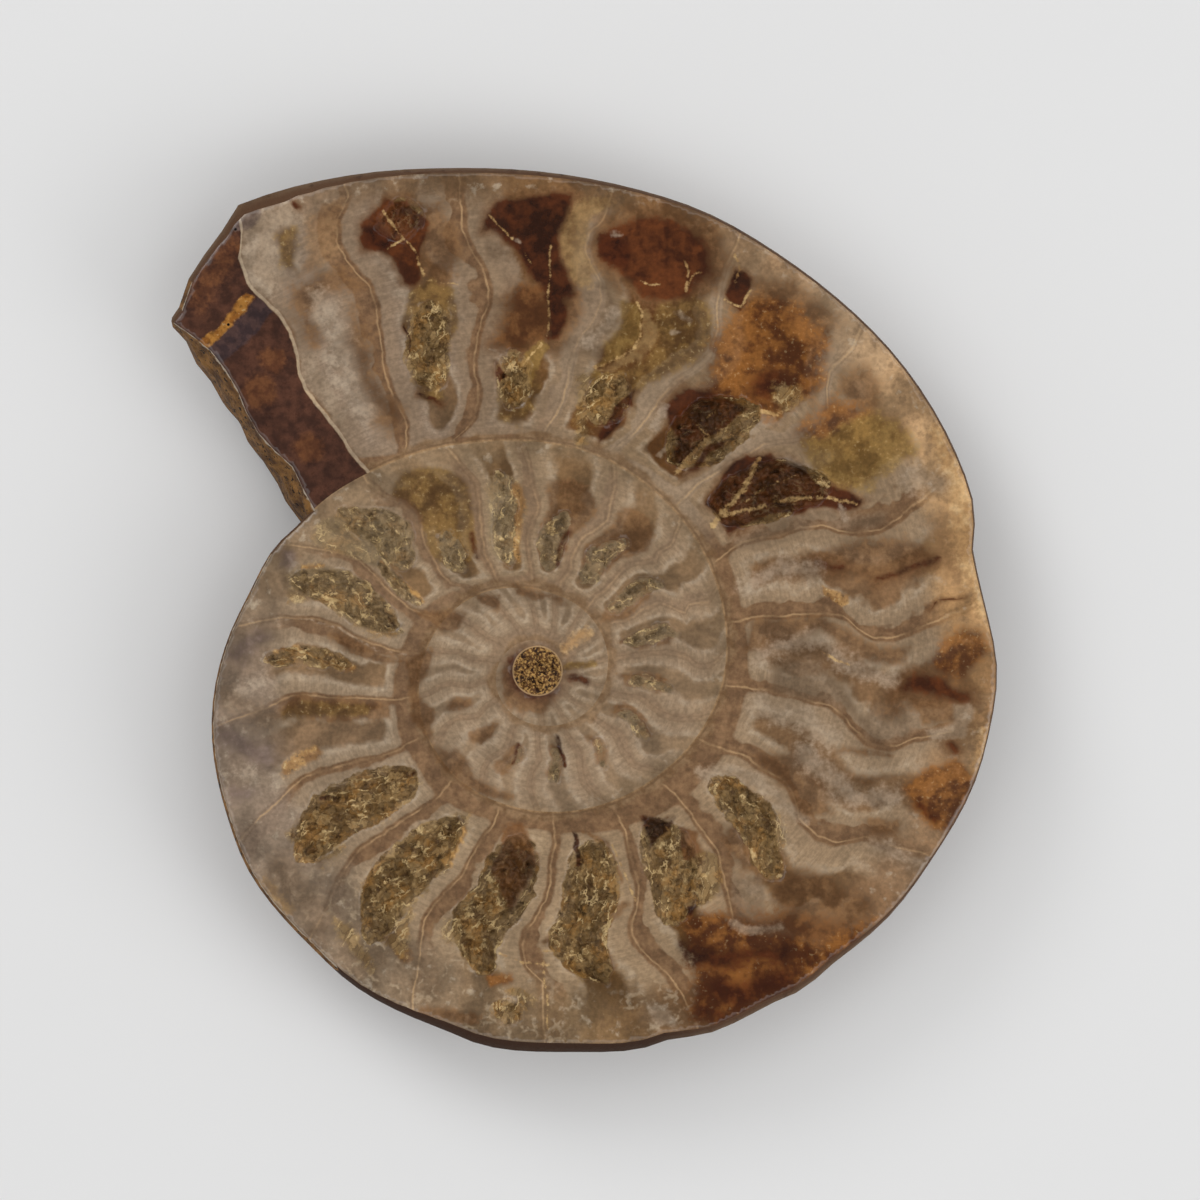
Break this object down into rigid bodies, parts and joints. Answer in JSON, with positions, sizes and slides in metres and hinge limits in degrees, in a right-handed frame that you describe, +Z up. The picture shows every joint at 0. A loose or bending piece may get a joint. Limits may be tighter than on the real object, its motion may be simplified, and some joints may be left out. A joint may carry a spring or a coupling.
{
  "type": "ammonite fossil",
  "caption": "Half of an ammonite fossil: a coiled, chambered shell turned to stone, sawn flat through its coil and polished, with open crystal-lined hollows.",
  "frame": {"origin": "under the middle of the outline seen from above, at the lowest point of the shell's flank", "axes": "+Z up, out of the polished cut face, +Y along the longer side of the outline, +X along the shorter side"},
  "size_m": [0.0826, 0.0884, 0.013],
  "materials": {
    "fossil_stone": "polished cut face, dull natural shell on the outside"
  },
  "bodies": {
    "root": {"ammonite_half": "fossil_stone"}
  },
  "joints": []
}
